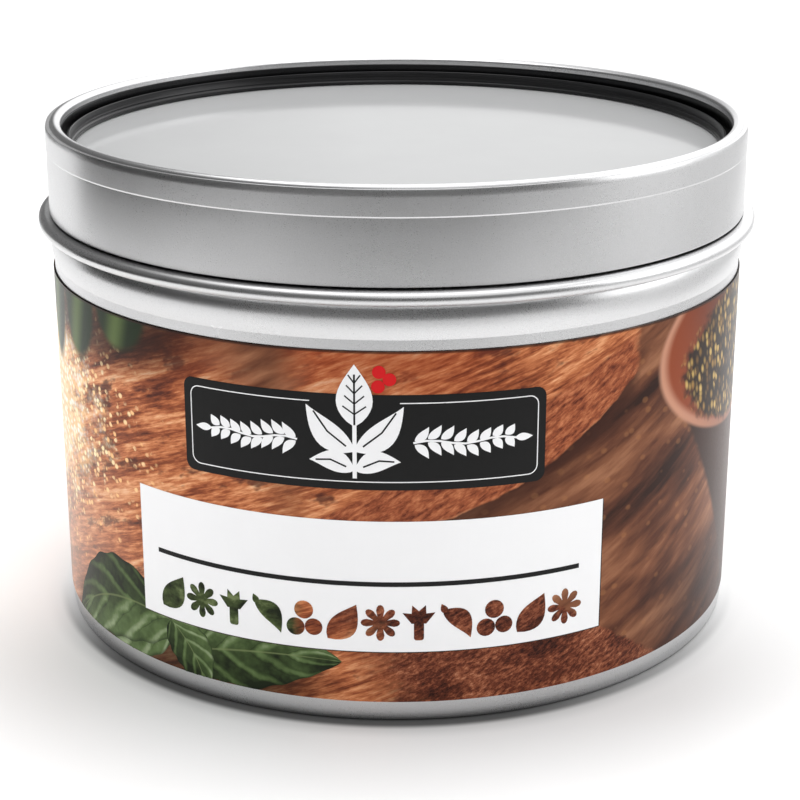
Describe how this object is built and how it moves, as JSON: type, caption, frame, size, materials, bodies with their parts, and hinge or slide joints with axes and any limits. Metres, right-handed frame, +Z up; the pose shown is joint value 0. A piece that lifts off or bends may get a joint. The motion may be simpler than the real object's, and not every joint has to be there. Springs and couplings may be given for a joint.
{
  "type": "spice tin",
  "caption": "Round slip-lid spice tin with a clear window in the lid, a stop bead under the lid and a printed wrap round the wall.",
  "frame": {"origin": "centre of the standing ring, on the surface the tin stands on", "axes": "+Z up along the tin's axis, towards the lid; -Y is the front of the printed wrap"},
  "size_m": [0.087, 0.087, 0.0605],
  "materials": {
    "tinplate": "satin tinplate with a fine grain",
    "seal_compound": "matte",
    "printed_film": "satin printed film",
    "clear_plastic": "clear, smooth"
  },
  "bodies": {
    "tin": {"body_wall": "tinplate", "base_end": "tinplate", "base_seal": "seal_compound", "wrap_label": "printed_film"},
    "lid": {"lid_shell": "tinplate", "window_seal": "seal_compound", "lid_window": "clear_plastic", "window_retainer": "tinplate"}
  },
  "joints": [
    {"name": "lid_lift", "type": "slide", "parent": "tin", "child": "lid", "axis": [0, 0, 1], "range_m": [0, 0.06]}
  ]
}
